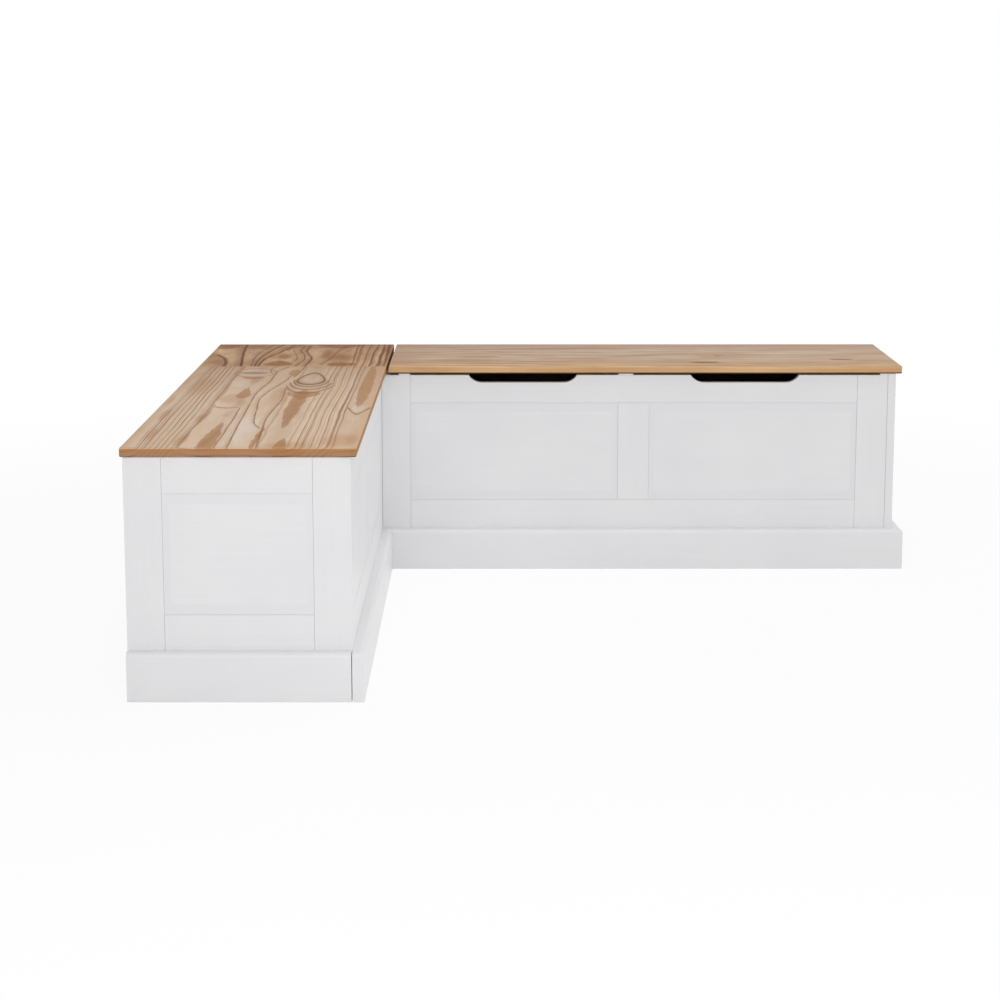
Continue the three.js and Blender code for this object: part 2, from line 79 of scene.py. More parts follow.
class Signal:
    # one output socket of a node; an expression on it adds Math nodes
    def __init__(self, finish, socket):
        self.finish = finish
        self.socket = socket

    def math(self, operation, *values):
        sockets = dict(enumerate((self,) + values))
        return self.finish.node("ShaderNodeMath", {"operation": operation}, sockets)

    def reflected(self, operation, value):
        return self.finish.node("ShaderNodeMath", {"operation": operation}, {0: value, 1: self})

    def output(self, name):
        # another output of the same node
        return Signal(self.finish, self.socket.node.outputs[name])

    def __add__(self, other):
        return self.math("ADD", other)

    def __radd__(self, other):
        return self.reflected("ADD", other)

    def __sub__(self, other):
        return self.math("SUBTRACT", other)

    def __rsub__(self, other):
        return self.reflected("SUBTRACT", other)

    def __mul__(self, other):
        return self.math("MULTIPLY", other)

    def __rmul__(self, other):
        return self.reflected("MULTIPLY", other)

    def __truediv__(self, other):
        return self.math("DIVIDE", other)

    def __rtruediv__(self, other):
        return self.reflected("DIVIDE", other)

    def __neg__(self):
        return self.math("MULTIPLY", -1.0)


noiseRange = {"middle": 0.5, "spread": 2.6}  # brings Blender's noise to about -1 to 1
lineLook = {
    "narrowest": 0.2,  # of an oval's width, where it tapers
    "loopShade": (4.0, 0.4),  # reach in thicknesses of the line, and depth
    "loopFade": 0.2,
}


class Finish:
    # the nodes of a material or of the world
    def __init__(self, owner):
        owner.use_nodes = True
        self.owner = owner
        self.tree = owner.node_tree
        self.tree.nodes.clear()

    def node(self, kind, settings=None, sockets=None, output=0):
        made = self.tree.nodes.new(kind)
        for name, value in (settings or {}).items():
            if name == "stops":
                fillRamp(made.color_ramp, value)
            else:
                setattr(made, name, value)
        for name, value in (sockets or {}).items():
            if isinstance(value, Signal):
                self.tree.links.new(value.socket, made.inputs[name])
            else:
                made.inputs[name].default_value = value
        return Signal(self, made.outputs[output]) if len(made.outputs) else None

    def spot(self):
        return self.node("ShaderNodeTexCoord", output="Object")

    def place(self):
        # object coordinates, split into x, y and z
        split = self.node("ShaderNodeSeparateXYZ", None, {0: self.spot()})
        return [split.output(i) for i in range(3)]

    def vector(self, x, y, z):
        return self.node("ShaderNodeCombineXYZ", None, {0: x, 1: y, 2: z})

    def attribute(self, name):
        return self.node("ShaderNodeAttribute", {"attribute_name": name}, output="Fac")

    def noise(self, spot, scale, detail=2.0, roughness=0.5):
        sockets = {"Vector": spot, "Scale": scale, "Detail": detail, "Roughness": roughness}
        made = self.node("ShaderNodeTexNoise", None, sockets)
        return (made - noiseRange["middle"]) * noiseRange["spread"]

    def ramp(self, value, stops, interpolation="LINEAR"):
        # the stops are greys, so the result is a plain value
        return self.node("ShaderNodeValToRGB", {"stops": (stops, interpolation)}, {0: value})

    def span(self, value, low, high):
        # 0 at low, 1 at high, held outside, with soft ends
        settings = {"interpolation_type": "SMOOTHSTEP"}
        return self.node("ShaderNodeMapRange", settings, {0: value, 1: low, 2: high})

    def mix(self, factor, first, second):
        sockets = {0: factor, 6: first, 7: second}
        return self.node("ShaderNodeMix", {"data_type": "RGBA"}, sockets, 2)

    def oval(self, across, along, centre, middle, width, length, taper=0.0):
        # squared distance from a place on a board, 1 on the oval; taper narrows its far end
        away = (along - middle) / length
        aside = (across - centre) / width
        if taper:
            aside = aside / (1.0 - away * taper).math("MAXIMUM", lineLook["narrowest"])
        return aside * aside + away * away, away

    def mound(self, *place):
        # 1 at the place, falling away to 0 round it
        return (-self.oval(*place)[0]).math("EXPONENT")

    def line(self, beside, thickness, reach, depth):
        # a line where beside is 0, with a soft shade on the side where it is negative
        line = self.span(beside.math("ABSOLUTE"), thickness, 0.0)
        shade = self.span(beside, -reach * thickness, 0.0) * self.span(beside, thickness, 0.0)
        return line.math("MAXIMUM", shade * depth)

    def loop(self, across, along, centre, middle, width, length, taper, thickness, start):
        # a line round the oval, from start onwards, with its shade inside
        distance, away = self.oval(across, along, centre, middle, width, length, taper)
        line = self.line(distance.math("SQRT") - 1.0, thickness, *lineLook["loopShade"])
        fade = lineLook["loopFade"]
        return line * self.span(away, start - fade, start + fade)

    def coated(self, colour, roughness, height, settings):
        # the finished material, whose settings give the bump and what is constant
        strength, distance = settings["bump"]
        bump = self.node("ShaderNodeBump", None, {
            "Strength": strength, "Distance": distance, "Height": height,
        })
        sockets = {"Base Color": colour, "Roughness": roughness, "Normal": bump}
        sockets.update(settings["constants"])
        return self.surface(self.node("ShaderNodeBsdfPrincipled", None, sockets))

    def surface(self, shader, kind="ShaderNodeOutputMaterial"):
        self.node(kind, None, {"Surface": shader})
        return self.owner


def fillRamp(ramp, value):
    stops, ramp.interpolation = value
    while len(ramp.elements) < len(stops):
        ramp.elements.new(0.5)
    for element, (position, colour) in zip(ramp.elements, stops):
        element.position = position
        element.color = colour


def tone(red, green, blue):
    # screen colour, 0 to 255, as the linear colour that nodes use
    def linear(value):
        value /= 255
        return value / 12.92 if value <= 0.04045 else ((value + 0.055) / 1.055) ** 2.4
    return (linear(red), linear(green), linear(blue), 1.0)


def grey(value):
    return (value, value, value, 1.0)


# White paint

paint = {
    "body": tone(236, 236, 237),
    "shade": tone(230, 230, 232),
    "wearAndHighlight": tone(205, 200, 190),
    # bevel: a painted shade colour for the slopes round the raised panels
    "bevel": tone(230, 230, 232),
    "bare": tone(150, 114, 78),
    "bareLine": tone(112, 78, 48),
    "roughness": 0.38,
    "roughnessVaries": 0.03,
    "brushMarks": 1400.0,  # across the grain, per metre
    "brushStretch": 0.02,
    "fibreShare": 0.2,  # of the brush marks' scale
    "orangePeel": 520.0,
    "clouds": 5.0,
    "wearMarks": 60.0,
    "wearFrom": (0.15, 0.9),
    "wearDepth": 0.55,
    "tintFrom": (-1.2, 1.2),
    "tintFibre": 0.5,
    "bevelShadeDepth": 0.8,
    "bareFrom": (-0.2, 1.1),
    "bareClouds": 0.4,
    "relief": {"brush": 0.3, "fibre": 0.55, "peel": 0.35},
    "bump": (0.12, 0.0006),
    "constants": {"Specular IOR Level": 0.35},
}


def whitePaint(name, along, settings):
    finish = Finish(bpy.data.materials.new(name))
    stretch = settings["brushStretch"]
    scaled = [axis * stretch if i == along else axis for i, axis in enumerate(finish.place())]
    lengthwise = finish.vector(*scaled)
    even = finish.spot()
    cloud = finish.noise(even, settings["clouds"], 3.0)
    brush = finish.noise(lengthwise, settings["brushMarks"], 3.0)
    fibre = finish.noise(lengthwise, settings["brushMarks"] * settings["fibreShare"], 4.0)
    peel = finish.noise(even, settings["orangePeel"], 2.0)
    marks = finish.noise(even, settings["wearMarks"], 5.0, 0.7)
    rubbed = finish.span(marks, *settings["wearFrom"])
    tint = finish.span(cloud + fibre * settings["tintFibre"], *settings["tintFrom"])
    colour = finish.mix(tint, settings["shade"], settings["body"])
    # painted shade: the bevels round the raised panels are greyer
    bevelShade = finish.attribute("bevel") * settings["bevelShadeDepth"]
    colour = finish.mix(bevelShade, colour, settings["bevel"])
    wear = finish.attribute("arris") * rubbed * settings["wearDepth"]
    colour = finish.mix(wear, colour, settings["wearAndHighlight"])
    grain = finish.span(fibre + cloud * settings["bareClouds"], *settings["bareFrom"])
    bare = finish.mix(grain, settings["bare"], settings["bareLine"])
    colour = finish.mix(finish.attribute("inside"), colour, bare)
    relief = settings["relief"]
    height = brush * relief["brush"] + fibre * relief["fibre"] + peel * relief["peel"]
    varies = settings["roughnessVaries"]
    roughness = cloud * varies + brush * varies + settings["roughness"]
    return finish.coated(colour, roughness, height, settings)


paintAlong = [whitePaint("whitePaint" + "XYZ"[i], i, paint) for i in range(3)]
print("white paint mixed")


# Pine

# noise for the figure: repeats per metre along and across the grain, detail, roughness, and the
# depth of the slice through it where it doesn't run through the board
pineGrain = {
    "broadSway": (2.0, 9.0, 1.0, 0.5, None),
    "fineSway": (5.0, 22.0, 1.0, 0.5, None),
    "uneven": (6.0, 20.0, 2.0, 0.5, None),
    "cloud": (3.0, 7.0, 2.0, 0.5, None),
    "streak": (12.0, 420.0, 3.0, 0.6, None),
    "pore": (30.0, 1500.0, 2.0, 0.5, None),
    "tear": (22.0, 60.0, 3.0, 0.5, 0.2),
    "patchy": (4.0, 18.0, 2.0, 0.5, 0.3),
    "mottle": (9.0, 32.0, 3.0, 0.5, 0.5),
    "paleness": (5.0, 34.0, 2.0, 0.5, 0.7),
}
# how the figure is put together: pairs with "From" are where a noise or place begins and is full
pineLook = {
    "warmFrom": (-0.8, 1.0), "paleFrom": (0.0, 1.0), "mottleFrom": (-0.3, 1.0),
    "bleached": (0.2, 0.7, 0.8), "shaded": (0.1, 0.9, 0.7),  # from, to, depth
    "bandWander": 0.02, "streakFrom": (-1.0, 1.2), "knotFrom": (0.2, 0.6),
    "ragged": 0.0016, "torn": (0.0045, 0.003),
    "patchFrom": (0.24, 0.46), "patchStreak": 0.25,
    "rimAt": 0.33, "rimWidth": 0.10, "rimDepth": 0.4,
    "strengthFrom": (-1.2, 0.6), "ringVaries": (0.5, 0.65),
    "drawnReach": 5.0, "drawnEnds": (0.01, 0.02),
    # the last value here is the depth of the painted highlight on the seat's upper rounds
    "sideFrom": (-0.8, 0.8), "sideStreak": 0.3, "highlightDepth": 0.35,
    "relief": {"streak": 0.5, "pore": 0.4, "late": 0.5},
    "roughness": 0.64, "roughLate": 0.05, "roughStreak": 0.04,
    "bump": (0.18, 0.0004), "constants": {"Specular IOR Level": 0.08},
}


def grainNoise(finish, place, name):
    along, across, depth = place
    lengthwise, crosswise, detail, roughness, cut = pineGrain[name]
    through = depth * crosswise if cut is None else cut
    spot = finish.vector(along * lengthwise, across * crosswise, through)
    return finish.noise(spot, 1.0, detail, roughness)


def ringField(finish, place, board):
    # growth rings cut by the board: their contours are the grain, one ring for each whole number
    along, across, depth = place
    broad, fine = board["sway"]
    bent = (across + grainNoise(finish, place, "broadSway") * broad
            + grainNoise(finish, place, "fineSway") * fine)
    rings = [ring for aside, ring in board["profile"]]
    low, reach = min(rings), max(rings) - min(rings)
    width = board["profile"][-1][0]
    stops = [(aside / width, grey((ring - low) / reach)) for aside, ring in board["profile"]]
    field = finish.ramp(bent * (1.0 / width), stops, "B_SPLINE") * reach + low
    field = field + along * board["climb"] + depth * board["tilt"]
    for centre, middle, halfWidth, halfLength, height in board["eyes"]:
        field = field + finish.mound(bent, along, centre, middle, halfWidth, halfLength) * height
    return bent, field + grainNoise(finish, place, "uneven") * board["unevenness"]


def plainWood(finish, place, ragged, cloud, board):
    # the wood that the rings lie on: clouds, bleached and shaded places, bands and mottle
    along, across = place[:2]
    warmth = finish.span(cloud, *pineLook["warmFrom"]) * board["clouds"]
    colour = finish.mix(warmth, board["early"], board["warm"])
    paleness = finish.span(grainNoise(finish, place, "paleness"), *pineLook["paleFrom"])
    colour = finish.mix(paleness * board["clouds"], colour, board["pale"])
    for kind, tint in (("bleached", board["pale"]), ("shaded", board["shade"])):
        low, high, depthOf = pineLook[kind]
        for spot in board[kind]:
            inside = finish.mound(ragged, along, *spot)
            colour = finish.mix(finish.span(inside, low, high) * depthOf, colour, tint)
    for way, low, high, depthOf, tint in board["bands"]:
        reached = {"across": across, "along": along}[way] + cloud * pineLook["bandWander"]
        colour = finish.mix(finish.span(reached, low, high) * depthOf, colour, tint)
    mottle = finish.span(grainNoise(finish, place, "mottle"), *pineLook["mottleFrom"])
    return finish.mix(mottle * board["mottle"], colour, board["fibre"])


def brownPatches(finish, place, bend, streak, topOnly, colour, board):
    # where the board's face runs along a ring: a brown place with a torn, darker rim
    byStreak, byTear = pineLook["torn"]
    torn = bend + streak * byStreak + grainNoise(finish, place, "tear") * byTear
    share = pineLook["patchStreak"]
    for spot in board["patches"]:
        inside = finish.mound(torn, place[0], *spot)
        cover = finish.span(inside, *pineLook["patchFrom"]) * (streak * share + (1.0 - share))
        colour = finish.mix(cover * topOnly, colour, board["patch"])
        offRim = (inside - pineLook["rimAt"]).math("ABSOLUTE")
        rim = finish.span(offRim, pineLook["rimWidth"], 0.0) * pineLook["rimDepth"]
        colour = finish.mix(rim * topOnly, colour, board["late"])
    return colour


def drawnLine(finish, along, ragged, points, thickness, board):
    # one line of the grain along a curve, given as places along and across the board
    first, last = points[0][0], points[-1][0]
    width = board["profile"][-1][0]
    stops = [((place - first) / (last - first), grey(aside / width)) for place, aside in points]
    course = finish.ramp((along - first) * (1.0 / (last - first)), stops, "CARDINAL") * width
    line = finish.line(ragged - course, thickness, pineLook["drawnReach"], board["drawnShade"])
    before, after = pineLook["drawnEnds"]
    line = line * finish.span(along, first - before, first + after)
    return line * finish.span(along, last + before, last - after)


def grainLines(finish, place, ragged, field, late, topOnly, board):
    # late wood, as strong as its ring, hairlines between the rings, loops and drawn lines
    along = place[0]
    number = {"W": field.math("FLOOR")}
    each = finish.node("ShaderNodeTexWhiteNoise", {"noise_dimensions": "1D"}, number)
    patchy = finish.span(grainNoise(finish, place, "patchy"), *pineLook["strengthFrom"])
    strength = patchy * (1.0 - board["faintest"]) + board["faintest"]
    varies, least = pineLook["ringVaries"]
    strength = strength * (each * varies + least).math("MINIMUM", 1.0)
    hairline = finish.ramp((field * board["hairlines"]).math("FRACT"), board["lateWood"])
    lines = (late * strength).math("MAXIMUM", hairline * board["hairDepth"])
    for *shape, depthOf in board["loops"]:
        lines = lines.math("MAXIMUM", finish.loop(ragged, along, *shape) * depthOf)
    for points, thickness, depthOf in board["drawn"]:
        line = drawnLine(finish, along, ragged, points, thickness, board)
        lines = lines.math("MAXIMUM", line * topOnly * depthOf)
    return lines


def pine(name, alongAxis, acrossAxis, start, board):
    # start: where along and across begin, and the way in which each runs
    finish = Finish(bpy.data.materials.new(name))
    spot = finish.place()
    along = (spot[alongAxis] - start[0]) * start[2]
    across = (spot[acrossAxis] - start[1]) * start[3]
    place = (along, across, spot[2] - seatTop)
    bend, field = ringField(finish, place, board)
    late = finish.ramp(field.math("FRACT"), board["lateWood"])
    kinds = ("streak", "cloud", "pore")
    streak, cloud, pore = (grainNoise(finish, place, kind) for kind in kinds)
    ragged = bend + streak * pineLook["ragged"]
    topOnly = 1.0 - finish.attribute("edge")
    colour = plainWood(finish, place, ragged, cloud, board)
    colour = brownPatches(finish, place, bend, streak, topOnly, colour, board)
    streaked = finish.span(streak, *pineLook["streakFrom"]) * board["streaks"]
    colour = finish.mix(streaked, colour, board["fibre"])
    lines = grainLines(finish, place, ragged, field, late, topOnly, board)
    colour = finish.mix(lines, colour, board["late"])
    for knot in board["knots"]:
        inside = finish.span(finish.mound(ragged, along, *knot), *pineLook["knotFrom"])
        colour = finish.mix(inside * board["knotDepth"], colour, board["knot"])
    warmSide = finish.span(cloud + streak * pineLook["sideStreak"], *pineLook["sideFrom"])
    side = finish.mix(warmSide, board["edge"], board["edgeWarm"])
    colour = finish.mix(finish.attribute("edge") * board["edgeDepth"], colour, side)
    # painted highlight: the upper rounds of a seat board are lighter, as if catching the light
    colour = finish.mix(finish.attribute("arris") * pineLook["highlightDepth"], colour, board["wearAndHighlight"])
    # painted shade: the lower rounds of a seat board are darkened, as if in shade below the
    # overhang
    colour = finish.mix(finish.attribute("under") * board["paintedShadeBelowDepth"], colour, board["under"])
    relief = pineLook["relief"]
    height = streak * relief["streak"] + pore * relief["pore"] - late * relief["late"]
    roughness = (pineLook["roughness"] + late * pineLook["roughLate"]
                 + streak * pineLook["roughStreak"])
    return finish.coated(colour, roughness, height, pineLook)


seatTop = 0.470
# late wood within one ring, from its start to the next one
boldRings = [
    (0.0, grey(0.02)), (0.35, grey(0.15)), (0.58, grey(0.45)),
    (0.72, grey(0.98)), (0.93, grey(1.0)), (1.0, grey(0.02)),
]
sharpRings = [
    (0.0, grey(0.02)), (0.45, grey(0.10)), (0.72, grey(0.32)),
    (0.83, grey(0.95)), (0.94, grey(1.0)), (1.0, grey(0.02)),
]
softRings = [
    (0.0, grey(0.1)), (0.5, grey(0.3)), (0.82, grey(0.9)), (0.93, grey(1.0)), (1.0, grey(0.1)),
]

# The boards. Places are metres from a board's wall edge (across) and from its end nearest the
# room's corner (along). A profile gives the ring at each place across. Eyes, loops, patches,
# knots, and bleached and shaded places give their centre across and along, half width and half
# length. An eye adds its height in rings, a patch its taper, and a loop its taper, thickness,
# start and depth. A drawn line gives its course (along, across), thickness and depth. A band
# gives its way, where it begins and where it is full, its depth and its colour.
leftBoard = {
    "profile": [
        (0.0, 8.65), (0.028, 8.35), (0.042, 7.0), (0.098, -0.4), (0.104, -0.1), (0.142, 0.38),
        (0.166, 0.3), (0.215, 0.22), (0.24, 0.25), (0.258, 0.55), (0.275, 0.75), (0.292, 0.6),
        (0.306, 0.3), (0.322, -0.1), (0.375, -5.1), (0.384, -5.45), (0.405, -5.4),
        (0.427, -5.5),
    ],
    "climb": 0.0, "tilt": 95.0, "sway": (0.0045, 0.0016), "unevenness": 0.1, "hairlines": 2.3,
    "hairDepth": 0.4, "mottle": 0.3, "eyes": [],
    "loops": [
        (0.275, 0.217, 0.028, 0.095, -0.35, 0.24, -3.0, 1.0),
        (0.277, 0.225, 0.038, 0.125, -0.1, 0.12, 0.1, 0.9),
        (0.278, 0.235, 0.046, 0.16, -0.1, 0.1, 0.3, 0.85),
        (0.278, 0.25, 0.054, 0.2, 0.0, 0.09, 0.4, 0.8),
        (0.404, 0.675, 0.02, 0.082, 0.55, 0.2, -0.2, 0.9),
        (0.142, 0.115, 0.045, 0.076, 0.0, 0.08, -3.0, 0.7),
        (0.138, 0.56, 0.046, 0.11, 0.0, 0.1, 0.8, 0.7),
    ],
    "drawn": [
        ([(-0.02, 0.243), (0.07, 0.24), (0.13, 0.238), (0.2, 0.233)], 0.0035, 0.8),
        ([(-0.02, 0.19), (0.03, 0.176), (0.08, 0.174), (0.13, 0.18)], 0.0035, 0.8),
        ([(-0.02, 0.21), (0.03, 0.204), (0.08, 0.192), (0.12, 0.188)], 0.0035, 0.8),
        ([(0.1, 0.19), (0.15, 0.189), (0.3, 0.186), (0.43, 0.176), (0.54, 0.175),
          (0.7, 0.181), (0.93, 0.188), (1.06, 0.192), (1.18, 0.196)], 0.003, 0.9),
        ([(0.16, 0.226), (0.2, 0.223), (0.25, 0.22), (0.38, 0.204), (0.48, 0.194),
          (0.56, 0.191), (0.68, 0.2), (0.79, 0.206), (0.89, 0.216), (0.95, 0.232)], 0.003, 0.9),
        ([(0.36, 0.231), (0.45, 0.236), (0.55, 0.239), (0.64, 0.236), (0.8, 0.232),
          (0.93, 0.236), (1.06, 0.242), (1.18, 0.246)], 0.004, 0.8),
        ([(0.66, 0.163), (0.76, 0.167), (0.93, 0.171), (1.06, 0.172), (1.18, 0.172)],
          0.0026, 0.9),
        ([(0.5, 0.312), (0.62, 0.303), (0.75, 0.298), (0.9, 0.293)], 0.0022, 0.35),
    ],
    "patches": [
        (0.15, 0.44, 0.01, 0.08, -0.8), (0.277, 0.49, 0.023, 0.06, 0.9),
        (0.273, 0.67, 0.013, 0.24, 0.35), (0.153, 1.08, 0.014, 0.19, -0.3),
        (0.4, 0.31, 0.011, 0.31, -0.2), (0.238, 1.06, 0.004, 0.12, 0.0),
        (0.286, 1.13, 0.01, 0.06, -0.6), (0.146, 0.206, 0.02, 0.02, 0.4),
        (0.228, 0.115, 0.01, 0.05, 0.0),
    ],
    "bleached": [
        (0.142, 0.115, 0.042, 0.07), (0.13, 0.3, 0.03, 0.06), (0.366, 0.25, 0.01, 0.11),
        (0.2, 0.92, 0.024, 0.22), (0.404, 0.68, 0.016, 0.06), (0.275, 0.215, 0.024, 0.08),
    ],
    "shaded": [
        (0.385, 1.09, 0.036, 0.09), (0.3, 1.15, 0.05, 0.05), (0.05, 0.33, 0.03, 0.16),
        (0.225, 0.47, 0.02, 0.14), (0.028, 0.76, 0.009, 0.09), (0.02, 0.15, 0.01, 0.06),
        (0.132, 0.53, 0.028, 0.08), (0.036, 1.01, 0.01, 0.08), (0.012, 0.56, 0.006, 0.07),
        (0.104, 0.8, 0.012, 0.06), (0.412, 1.08, 0.014, 0.06), (0.1, 1.09, 0.014, 0.07),
    ],
    "shade": tone(202, 162, 124),
    "bands": [
        ("along", 0.64, 0.06, 0.5, tone(178, 144, 112)),
        ("along", 0.09, 0.0, 0.3, tone(150, 112, 80)),
        ("across", 0.395, 0.425, 0.3, tone(196, 150, 100)),
        ("across", 0.03, 0.0, 0.4, tone(204, 170, 138)),
    ],
    "knots": [(0.14, 0.12, 0.034, 0.022)],
    "knotDepth": 0.7, "drawnShade": 0.35, "lateWood": sharpRings, "faintest": 0.4,
    "early": tone(231, 209, 187), "late": tone(134, 86, 44), "patch": tone(168, 112, 52),
    "fibre": tone(196, 162, 128), "streaks": 0.4, "warm": tone(218, 185, 150), "clouds": 0.5,
    "pale": tone(236, 221, 208), "knot": tone(138, 108, 82), "edge": tone(172, 126, 82),
    # the last colour on this line is a painted highlight for the seat's upper rounds
    "edgeWarm": tone(164, 106, 54), "edgeDepth": 0.8, "wearAndHighlight": tone(198, 160, 122),
    # painted shade for the seat's lower rounds, below its edge
    "under": tone(84, 60, 40), "paintedShadeBelowDepth": 0.6,
}
rightBoard = {
    "profile": [(0.0, 9.0), (0.1, 6.0), (0.2, 2.5), (0.3, -1.0), (0.427, -9.0)],
    "climb": 0.4, "tilt": 95.0, "sway": (0.008, 0.003), "unevenness": 0.3, "hairlines": 1.9,
    "hairDepth": 0.6, "mottle": 0.9,
    "eyes": [(0.19, 0.35, 0.06, 0.3, 1.3), (0.2, 0.9, 0.06, 0.25, 1.2)],
    "loops": [], "drawn": [],
    "patches": [
        (0.285, 0.42, 0.007, 0.08, 0.0), (0.342, 0.35, 0.008, 0.07, 0.0),
        (0.255, 0.2, 0.012, 0.05, 0.0), (0.225, 0.56, 0.005, 0.12, 0.0),
    ],
    "bleached": [(0.2, 0.5, 0.05, 0.16), (0.25, 0.64, 0.04, 0.1), (0.17, 1.0, 0.05, 0.14)],
    "shaded": [(0.02, 0.93, 0.016, 0.11), (0.33, 0.17, 0.03, 0.12), (0.09, 0.42, 0.02, 0.2)],
    "shade": tone(176, 136, 108),
    "bands": [
        ("across", 0.024, 0.0, 0.8, tone(140, 104, 80)),
        ("across", 0.11, 0.0, 0.8, tone(192, 170, 160)),
        ("across", 0.29, 0.385, 0.9, tone(228, 198, 160)),
        ("across", 0.38, 0.405, 1.0, tone(255, 222, 180)),
        ("along", 0.1, 0.0, 0.35, tone(176, 134, 94)),
    ],
    "knots": [
        (0.363, 0.728, 0.013, 0.034), (0.307, 1.047, 0.011, 0.028),
        (0.232, 0.768, 0.004, 0.012),
    ],
    "knotDepth": 0.65, "drawnShade": 0.0, "lateWood": softRings, "faintest": 0.3,
    "early": tone(240, 222, 202), "late": tone(154, 118, 88), "patch": tone(184, 144, 106),
    "fibre": tone(188, 156, 128), "streaks": 0.6, "warm": tone(202, 170, 142), "clouds": 0.9,
    "pale": tone(236, 220, 206), "knot": tone(112, 72, 40), "edge": tone(228, 188, 138),
    # the last colour on this line is a painted highlight for the seat's upper rounds
    "edgeWarm": tone(202, 150, 98), "edgeDepth": 0.8, "wearAndHighlight": tone(226, 190, 144),
    # painted shade for the seat's lower rounds, below its edge
    "under": tone(50, 34, 21), "paintedShadeBelowDepth": 0.9,
}
cornerBoard = {
    "profile": [
        (0.0, 0.55), (0.04, 0.4), (0.08, 0.6), (0.12, 0.3), (0.16, 0.55), (0.2, 0.35),
        (0.25, 0.3), (0.29, 0.55), (0.335, 0.3), (0.35, -0.3), (0.41, -5.1), (0.427, -5.6),
    ],
    "climb": 0.0, "tilt": 95.0, "sway": (0.006, 0.0025), "unevenness": 0.14, "hairlines": 2.3,
    "hairDepth": 0.3, "mottle": 0.7, "eyes": [], "loops": [],
    "drawn": [
        ([(0.2, 0.016), (0.24, 0.026), (0.28, 0.04), (0.35, 0.052), (0.46, 0.058)],
          0.014, 0.9),
        ([(-0.02, 0.068), (0.12, 0.073), (0.2, 0.077), (0.32, 0.088), (0.46, 0.098)],
          0.009, 1.0),
        ([(0.02, 0.318), (0.11, 0.306), (0.2, 0.296), (0.3, 0.288), (0.42, 0.274)],
          0.014, 0.6),
        ([(-0.02, 0.214), (0.04, 0.196), (0.09, 0.183), (0.14, 0.176)], 0.0085, 0.8),
        ([(-0.02, 0.14), (0.11, 0.124), (0.16, 0.117), (0.26, 0.115), (0.35, 0.116),
          (0.46, 0.119)], 0.0065, 0.8),
        ([(-0.02, 0.165), (0.11, 0.143), (0.2, 0.133), (0.3, 0.127), (0.46, 0.126)],
          0.0085, 0.9),
        ([(-0.02, 0.192), (0.11, 0.173), (0.2, 0.157), (0.28, 0.143), (0.35, 0.136),
          (0.46, 0.133)], 0.0085, 0.9),
        ([(0.1, 0.192), (0.17, 0.198), (0.25, 0.208), (0.33, 0.211), (0.42, 0.2)],
          0.0065, 0.6),
        ([(0.02, 0.212), (0.15, 0.21), (0.2, 0.221), (0.28, 0.229), (0.36, 0.227),
          (0.46, 0.218)], 0.007, 0.8),
        ([(0.02, 0.226), (0.15, 0.224), (0.24, 0.24), (0.3, 0.246), (0.4, 0.245),
          (0.46, 0.243)], 0.007, 0.9),
    ],
    "patches": [
        (0.176, 0.375, 0.026, 0.045, -0.5), (0.3, 0.03, 0.05, 0.05, 0.4),
        (0.02, 0.03, 0.034, 0.06, 0.0), (0.32, 0.395, 0.03, 0.03, 0.0),
    ],
    "bleached": [
        (0.11, 0.2, 0.024, 0.15), (0.256, 0.16, 0.014, 0.08), (0.4, 0.28, 0.02, 0.16),
        (0.238, 0.33, 0.012, 0.08), (0.07, 0.33, 0.012, 0.1), (0.155, 0.27, 0.016, 0.05),
    ],
    "shaded": [
        (0.318, 0.29, 0.034, 0.11), (0.03, 0.36, 0.022, 0.06), (0.275, 0.2, 0.014, 0.1),
        (0.1, 0.06, 0.03, 0.06), (0.18, 0.25, 0.02, 0.06),
    ],
    "shade": tone(152, 102, 60),
    "bands": [
        ("across", 0.225, 0.295, 0.35, tone(140, 98, 62)),
        ("across", 0.408, 0.424, 0.9, tone(134, 92, 56)),
        ("along", 0.15, 0.0, 0.45, tone(130, 94, 64)),
        ("along", 0.24, 0.42, 0.8, tone(230, 194, 158)),
    ],
    "knots": [], "knotDepth": 0.7, "drawnShade": 0.6, "lateWood": boldRings, "faintest": 0.6,
    "early": tone(250, 216, 176), "late": tone(98, 50, 14), "patch": tone(146, 88, 36),
    "fibre": tone(154, 108, 66), "streaks": 0.5, "warm": tone(168, 114, 66), "clouds": 0.8,
    "pale": tone(244, 214, 180), "knot": tone(92, 58, 38), "edge": tone(156, 118, 82),
    # the last colour on this line is a painted highlight for the seat's upper rounds
    "edgeWarm": tone(138, 98, 62), "edgeDepth": 0.6, "wearAndHighlight": tone(196, 162, 124),
    # painted shade for the seat's lower rounds, below its edge
    "under": tone(60, 42, 28), "paintedShadeBelowDepth": 0.5,
}

roomWall = 0.8069  # from the middle of the plan to either wall, in the bench's frame
lidFrom = 0.433  # from the room's corner to the near end of a lid
pineLeft = pine("pineLeftLid", 1, 0, (roomWall - lidFrom, -roomWall, -1.0, 1.0), leftBoard)
pineRight = pine("pineRightLid", 0, 1, (lidFrom - roomWall, roomWall, 1.0, -1.0), rightBoard)
pineCorner = pine("pineCornerTop", 1, 0, (roomWall, -roomWall, -1.0, 1.0), cornerBoard)
print("pine finishes mixed")


# Zinc plated steel

zinc = {
    "body": tone(196, 198, 202), "dull": tone(160, 162, 166), "dullFrom": (-1.0, 1.0),
    "spangle": 180.0, "haze": 40.0, "spangleShare": 0.5,
    "brushed": (60.0, 60.0, 1800.0),  # marks per metre along x, y and z
    "relief": {"brushed": 0.6, "spangle": 0.4},
    "roughness": 0.34, "roughSpangle": 0.05, "roughBrushed": 0.04,
    "bump": (0.1, 0.0002), "constants": {"Metallic": 1.0},
}


